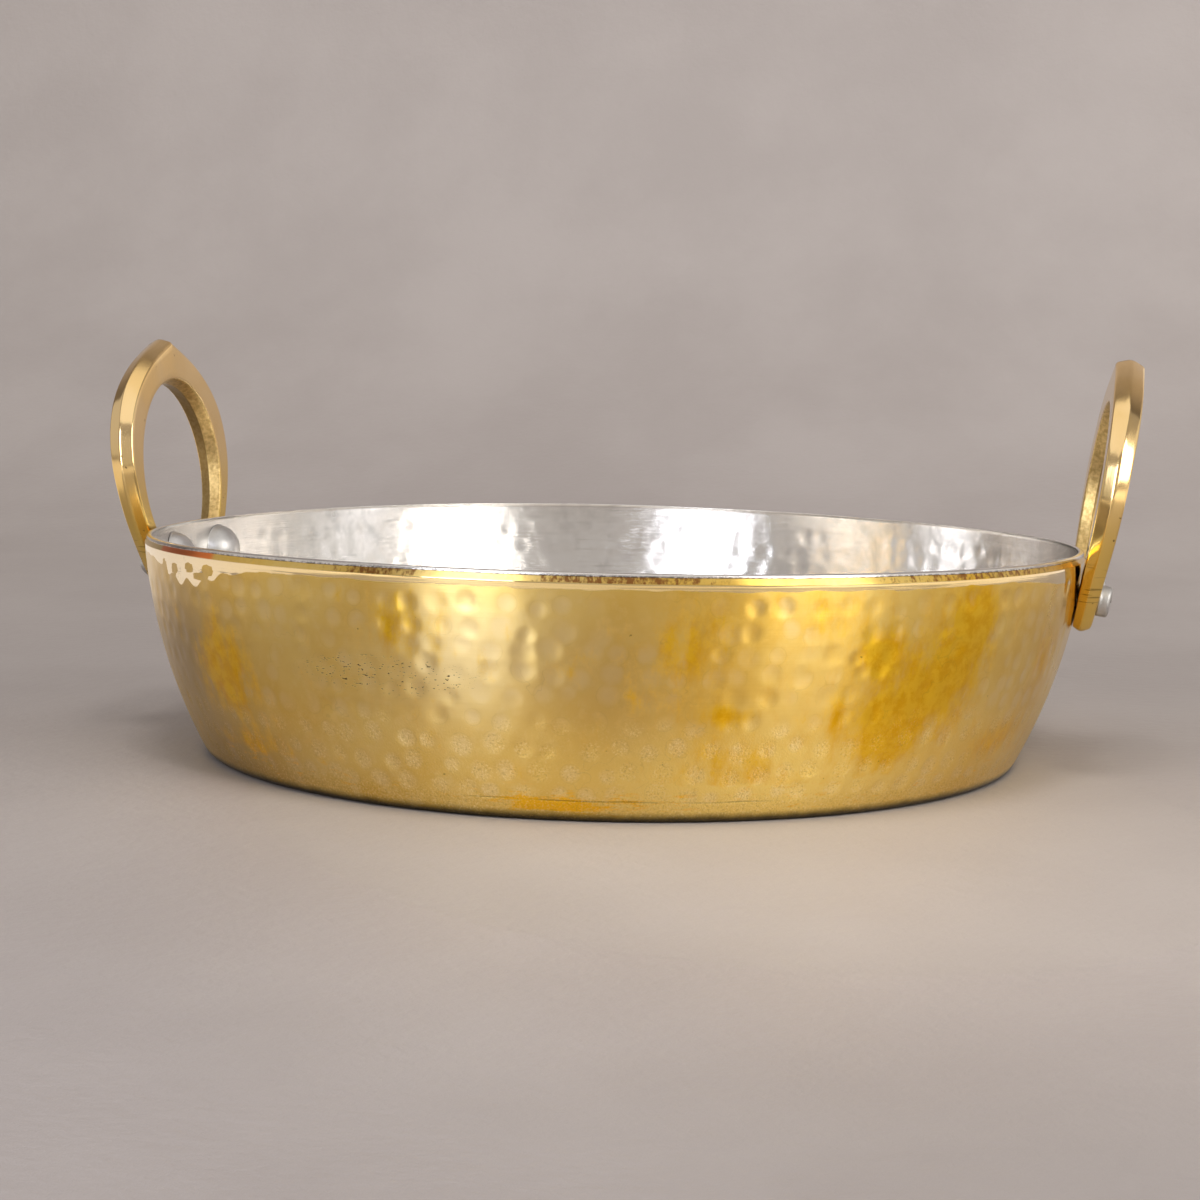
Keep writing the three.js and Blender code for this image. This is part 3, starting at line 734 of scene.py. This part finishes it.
handle_look, place = new_material("cast_brass")
rough_skin = place.value("cast")
reach_up = place.value("up")
cloud = place.noise(45, 4)
warm = (reach_up + 0.35 * (cloud - 0.5)).rise(0.55, 0.15)
scuffs = place.stretched(500, 60).noise(1, 3, 0.7)
holes = place.noise(520, 1).rise(0.765, 0.785) * (1 - rough_skin)
handle_colour = cloud.rise(0.35, 0.7).mix(CAST_LIGHT, CAST_DEEP)
handle_colour = (warm * 0.8).mix(handle_colour, CAST_WARM)
near_rivets = (abs(reach_up - 0.03) + 0.2 * (cloud - 0.5)).rise(0.12, 0.05)
file_marks = place.stretched(110, 1500).noise(1, 1).rise(0.60, 0.66) * near_rivets
handle_colour = (file_marks * (1 - rough_skin) * 0.6).mix(handle_colour, FILE_BROWN)
skin_colour = place.noise(900, 3).rise(0.3, 0.7).mix(SKIN_DEEP, SKIN_LIGHT)
skin_colour = (place.value("shaded") * 0.7).mix(skin_colour, SKIN_SHADED)
handle_colour = rough_skin.mix(handle_colour, skin_colour)
handle_colour = (holes * 0.8).mix(handle_colour, HOLE_BROWN)
handle_rough = 0.13 + 0.10 * cloud.rise(0.45, 0.75) + 0.20 * rough_skin + 0.05 * (scuffs - 0.5)
handle_bumps = 0.08 * scuffs + 0.45 * rough_skin * place.noise(1900, 3, 0.65)
cast = place.node("ShaderNodeBsdfPrincipled", {}, {
    "Base Color": handle_colour,
    "Metallic": 1.0,
    "Roughness": handle_rough,
    "Normal": place.bump(0.0002, handle_bumps),
})
handle_seats = {
    "right": (HANDLE_SWEEP, math.radians(2.2), 21),
    "left": (math.pi - HANDLE_SWEEP, math.radians(0.2), 34),
}
for name, (azimuth, splay, seed) in handle_seats.items():
    handle = ring_handle("ring_handle_" + name, azimuth, splay, seed)
    cover(handle, handle_look, cast)
    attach(handle, "root")
    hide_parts("handle_" + name)

# Rivets: soft aluminium, a high round head inside the pan, a shank through wall and handle, and a tail
# hammered over outside. The heads keep fine upright lines from the tool that held them.
HEAD_RADIUS = 7.75 * MM
HEAD_HEIGHT = 6.5 * MM
SHANK_RADIUS = 3 * MM
TAIL_RADIUS = 4.4 * MM
TAIL_HEIGHTS = {"right": 3.4 * MM, "left": 1.4 * MM}
HEAD_RISES = {"right": 0, "left": 1 * MM}  # how far a head was set above its shank
TAIL_ROUND = 1.0 * MM
TAIL_CROWN = 0.25 * MM  # how far the tail's end rises to its middle
TAIL_LUMP = 0.10 * MM
RIVET_SIDES = 96
RIVET_LIGHT = (0.62, 0.605, 0.59, 1)
RIVET_BLOOM = (0.51, 0.50, 0.48, 1)
RIVET_SCRAPE = (0.42, 0.41, 0.41, 1)


def rivet(name, side_at, tail_height, head_rise, azimuth, splay, seed):
    """A rivet turned about its own axis: a ball from its crown down to the lined wall, a shank, and a tail
    with a round edge and a slightly uneven end. Points of the head that would enter the wall are held
    off it."""
    dice = np.random.default_rng(seed)
    spin = (np.arange(RIVET_SIDES) / RIVET_SIDES * TURN)[None, :]
    ball = (HEAD_RADIUS**2 + HEAD_HEIGHT**2) / (2 * HEAD_HEIGHT)
    lined = seat_radius - TIN_INSET / math.cos(seat_lean)
    wall_face = (math.sqrt(lined**2 - side_at**2) - seat_radius) * math.cos(seat_lean)
    polar = np.radians(np.linspace(2, 98, 30))
    head_away = ball * np.sin(polar)
    head_out = wall_face - HEAD_HEIGHT + ball * (1 - np.cos(polar))
    tail_foot = HANDLE_PROUD + HAIR
    tail_top = tail_foot + tail_height
    tail_round = min(TAIL_ROUND, 0.6 * tail_height)
    bend = np.radians(np.linspace(0, 90, 8))
    tail_away = np.concatenate([
        [SHANK_RADIUS] * 2,
        np.linspace(SHANK_RADIUS, TAIL_RADIUS, 3)[1:],
        [TAIL_RADIUS] * 2,
        TAIL_RADIUS - tail_round * (1 - np.cos(bend)),
        np.linspace(TAIL_RADIUS - tail_round, 0.2 * MM, 8)[1:],
    ])
    tail_out = np.concatenate([
        [wall_face, tail_foot],
        [tail_foot] * 2,
        [tail_foot + 0.1 * tail_height, tail_foot + 0.35 * tail_height],
        tail_top - tail_round * (1 - np.sin(bend)),
        tail_top + TAIL_CROWN * np.linspace(0, 1, 8)[1:] ** 0.7,
    ])
    away = np.concatenate([head_away, tail_away])[:, None]
    out = np.concatenate([head_out, tail_out])[:, None]
    on_tail = (np.arange(len(away)) > len(head_away) + 3)[:, None]
    lump = sum(dice.normal(0, TAIL_LUMP) * np.cos(k * spin + dice.uniform(0, TURN)) for k in (1, 2, 3))
    away = away + on_tail * lump * (away / TAIL_RADIUS)
    out = out + on_tail * smooth(out, tail_foot + 0.3 * tail_height, tail_top) * lump * 1.2
    side = side_at + away * np.cos(spin)
    on_head = (np.arange(len(away)) < len(head_away))[:, None]
    up = away * np.sin(spin) + on_head * head_rise
    for _ in range(3):
        entered = room_outside(out, side, up, azimuth, splay) + TIN_INSET + 0.03 * MM
        out = out - on_head * np.maximum(entered, 0)
    return mesh_piece(name, seat_place(out, side, up, azimuth, splay))


rivet_look, place = new_material("rivet_aluminium")
tool_lines = place.stretched(2600, 90).noise(1, 3, 0.7)
bloom = place.noise(160, 4)
scrapes = place.stretched(900, 200).noise(1, 2).rise(0.6, 0.72)
rivet_colour = bloom.rise(0.35, 0.7).mix(RIVET_LIGHT, RIVET_BLOOM)
rivet_colour = (scrapes * 0.4).mix(rivet_colour, RIVET_SCRAPE)
bright = place.node("ShaderNodeBsdfPrincipled", {}, {
    "Base Color": rivet_colour,
    "Metallic": 1.0,
    "Roughness": 0.40 + 0.14 * (bloom - 0.5) + 0.10 * (tool_lines - 0.5),
    "Normal": place.bump(0.00008, tool_lines + 0.5 * bloom),
})
for name, (azimuth, splay, seed) in handle_seats.items():
    for way in (-1, 1):
        end = "front" if way * math.cos(azimuth) < 0 else "back"
        form = (way * RIVET_SIDE, TAIL_HEIGHTS[name], HEAD_RISES[name])
        pin = rivet(f"round_rivet_{name}_{end}", *form, azimuth, splay, seed + way)
        cover(pin, rivet_look, bright)
        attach(pin, "root")
        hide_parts(f"rivet_{name}_{end}")

# Floor: a plain pale sweep of smooth plaster that the pan stands on, level under it and curved up into
# a back wall behind it.
SWEEP_NEAR = -3.0
SWEEP_TURN = 0.6
SWEEP_RADIUS = 0.5
SWEEP_TOP = 2.8
SWEEP_HALF = 3.5
SWEEP_ROWS = 20
PLASTER_DEEP = (0.28, 0.25, 0.237, 1)
PLASTER_LIGHT = (0.315, 0.284, 0.27, 1)

bend = np.radians(np.linspace(0, 90, 24))
sweep_y = np.concatenate([
    np.linspace(SWEEP_NEAR, SWEEP_TURN, SWEEP_ROWS),
    SWEEP_TURN + SWEEP_RADIUS * np.sin(bend[1:]),
    [SWEEP_TURN + SWEEP_RADIUS],
])
sweep_z = np.concatenate([np.zeros(SWEEP_ROWS), SWEEP_RADIUS * (1 - np.cos(bend[1:])), [SWEEP_TOP]])
sweep_x = np.linspace(-SWEEP_HALF, SWEEP_HALF, 2)
sweep_points = np.stack(np.broadcast_arrays(sweep_x[None, :], sweep_y[:, None], sweep_z[:, None]), -1)
low = np.arange(len(sweep_y) - 1) * 2
sweep_faces = np.stack([low, low + 1, low + 3, low + 2], -1)
sweep_mesh = bpy.data.meshes.new("pale_floor")
sweep_mesh.from_pydata(sweep_points.reshape(-1, 3).tolist(), [], sweep_faces.tolist())
sweep_mesh.shade_smooth()
floor = bpy.data.objects.new("pale_floor", sweep_mesh)
bpy.context.scene.collection.objects.link(floor)
floor_look, place = new_material("pale_plaster")
blotch = place.noise(6, 5, 0.6)
floor_colour = blotch.rise(0.3, 0.7).mix(PLASTER_DEEP, PLASTER_LIGHT)
plaster = place.node("ShaderNodeBsdfPrincipled", {}, {
    "Base Color": floor_colour,
    "Roughness": 0.55 + 0.15 * (blotch - 0.5),
    "Normal": place.bump(0.0004, place.noise(180, 5, 0.6)),
})
cover(floor, floor_look, plaster)

# Light: a narrow soft box left of the camera and a wide one to its right, a pale ceiling with a lamp
# under it, dim cards round the pan and on the table that the metal mirrors, a small warm pool in front
# of the foot, and a wash of light on the wall behind.
CAMERA_TURN = math.radians(10.6)  # the camera stands this far round from the -Y side
ROOM_WHITE = (1.0, 0.97, 0.94)
TABLE_WHITE = (1.0, 0.92, 0.82)
ROOM_COLOUR = (0.40, 0.375, 0.36, 1)
ROOM_STRENGTH = 0.95


def soft_box(name, at, aim, width, tall, watts, colour, mirrored=True, spread=180):
    """A rectangular light that faces a point. The camera never sees it, and unless it is mirrored the
    metal doesn't either. Its spread is the angle that it shines into, in degrees."""
    lamp = bpy.data.lights.new(name, "AREA")
    lamp.shape = "RECTANGLE"
    lamp.size = width
    lamp.size_y = tall
    lamp.energy = watts
    lamp.spread = math.radians(spread)
    lamp.color = colour
    box = bpy.data.objects.new(name, lamp)
    back = np.array(at, float) - np.array(aim, float)
    back /= np.linalg.norm(back)
    side = np.cross([0, 0, 1] if abs(back[2]) < 0.99 else [0, 1, 0], back)
    side /= np.linalg.norm(side)
    turn = np.eye(4)
    turn[:3, :3] = np.stack([side, np.cross(back, side), back], -1)
    turn[:3, 3] = at
    box.matrix_world = Matrix(turn.tolist())
    box.visible_camera = False
    box.visible_glossy = mirrored
    bpy.context.scene.collection.objects.link(box)


def round_pan(degrees, distance, height):
    """A place round the pan: degrees to the right of the camera, a distance out and a height."""
    turn = CAMERA_TURN + math.radians(degrees)
    return (distance * math.sin(turn), -distance * math.cos(turn), height)


soft_box("left_box", (-0.225, -0.641, 0.285), (-0.29, 0, 0.285), 0.255, 0.47, 2.05, (0.92, 0.97, 1.10))
soft_box("right_box", round_pan(47, 1.8, 0.80), (0, 0, 0.3), 0.9, 1.2, 17.3, (1.0, 0.98, 0.95))
soft_box("ceiling", (0.1, -0.6, 2.2), (0.1, -0.6, 0), 3.0, 3.0, 17.5, ROOM_WHITE)
soft_box("top_light", (0.1, -0.6, 1.95), (0, 0, 0), 0.5, 0.5, 13.5, ROOM_WHITE, False)
soft_box("foot_pool", (0.28, -0.53, 0.5), (0.07, -0.13, 0), 0.12, 0.12, 0.15, (1.0, 0.92, 0.78), False, 34)
soft_box("middle_card", round_pan(7, 1.6, 0.5), (0, 0, 0.3), 1.5, 0.95, 0.65, ROOM_WHITE)
soft_box("back_card", (0.50, 0.95, 0.25), (-0.147, 0, 0.10), 0.55, 0.5, 0.26, (1.0, 0.96, 0.90))
soft_box("front_card", round_pan(0, 0.78, 0.004), round_pan(0, 0.78, 1), 1.3, 0.8, 1.15, TABLE_WHITE)
soft_box("left_card", (-0.70, 0.0, 0.004), (-0.70, 0.0, 1), 0.8, 1.4, 1.8, TABLE_WHITE)
soft_box("right_card", (0.80, 0.0, 0.004), (0.80, 0.0, 1), 0.8, 1.4, 2.2, TABLE_WHITE)
soft_box("right_wall", round_pan(90, 1.5, 0.6), (0, 0, 0.3), 1.5, 1.2, 2.6, (1.0, 0.98, 0.93))
soft_box("left_wall", round_pan(-90, 1.5, 0.6), (0, 0, 0.3), 1.5, 1.2, 1.1, (1.0, 0.97, 0.93))
soft_box("back_light", (0, 0.5, 0.9), (0, 1.1, 0.55), 2.4, 0.5, 6.2, (1.0, 0.98, 0.97))
world = bpy.data.worlds.new("dim_room")
world.use_nodes = True
world.node_tree.nodes["Background"].inputs["Color"].default_value = ROOM_COLOUR
world.node_tree.nodes["Background"].inputs["Strength"].default_value = ROOM_STRENGTH
bpy.context.scene.world = world
bpy.context.scene.view_settings.view_transform = "Standard"

# Camera: about as high as the handles' crowns and a little to the right of the front, with a long lens.
# Its place, turns and lens come from a fit to the rim, the foot and the wall of the real pan.
CAMERA_DISTANCE = 698.3 * MM
CAMERA_HEIGHT = 116.4 * MM
CAMERA_YAW = math.radians(-0.31)
CAMERA_PITCH = math.radians(-5.87)
CAMERA_ROLL = math.radians(1.22)
FOCAL_PIXELS = 2300
PICTURE_PIXELS = 1200
SENSOR_WIDTH = 36
NEAR_CLIP = 10 * MM

heading = CAMERA_YAW - CAMERA_TURN
ahead = np.array([
    math.sin(heading) * math.cos(CAMERA_PITCH),
    math.cos(heading) * math.cos(CAMERA_PITCH),
    math.sin(CAMERA_PITCH),
])
level = np.array([math.cos(heading), -math.sin(heading), 0])
above = np.cross(level, ahead)
across = math.cos(CAMERA_ROLL) * level + math.sin(CAMERA_ROLL) * above
upward = math.cos(CAMERA_ROLL) * above - math.sin(CAMERA_ROLL) * level
pose = np.eye(4)
pose[:3, :3] = np.stack([across, upward, -ahead], -1)
pose[:3, 3] = round_pan(0, CAMERA_DISTANCE, CAMERA_HEIGHT)
lens = bpy.data.cameras.new("camera")
lens.sensor_fit = "HORIZONTAL"
lens.sensor_width = SENSOR_WIDTH
lens.lens = SENSOR_WIDTH * FOCAL_PIXELS / PICTURE_PIXELS
lens.clip_start = NEAR_CLIP
camera = bpy.data.objects.new("camera", lens)
camera.matrix_world = Matrix(pose.tolist())
bpy.context.scene.collection.objects.link(camera)
bpy.context.scene.camera = camera
